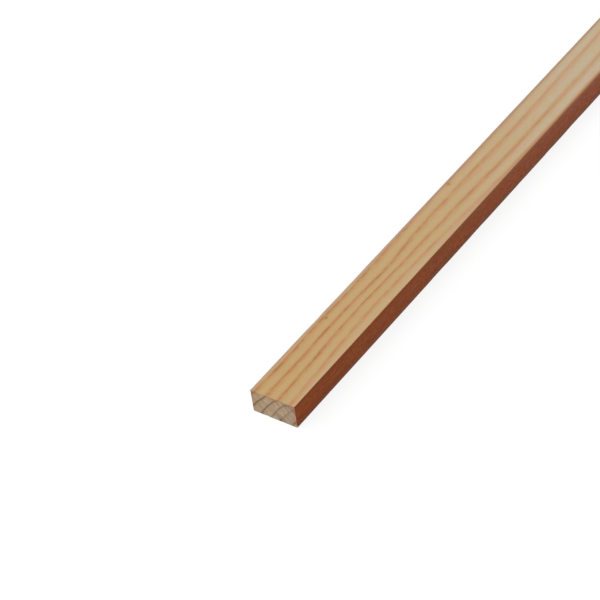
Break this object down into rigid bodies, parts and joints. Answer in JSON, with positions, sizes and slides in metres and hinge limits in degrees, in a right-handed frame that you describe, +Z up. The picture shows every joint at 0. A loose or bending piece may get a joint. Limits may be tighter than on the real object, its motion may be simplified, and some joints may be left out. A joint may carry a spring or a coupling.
{
  "type": "timber plank",
  "caption": "Straight strip of planed softwood with a rectangular section, eased long arrises and square sawn ends, used as building stock.",
  "frame": {"origin": "middle of the underside, on the surface the plank lies on", "axes": "+X along the length and the grain, +Y across the width, +Z up through the thickness"},
  "size_m": [1.219, 0.038, 0.019],
  "materials": {
    "planed_pine": "matte"
  },
  "bodies": {
    "root": {"plank": "planed_pine"}
  },
  "joints": []
}
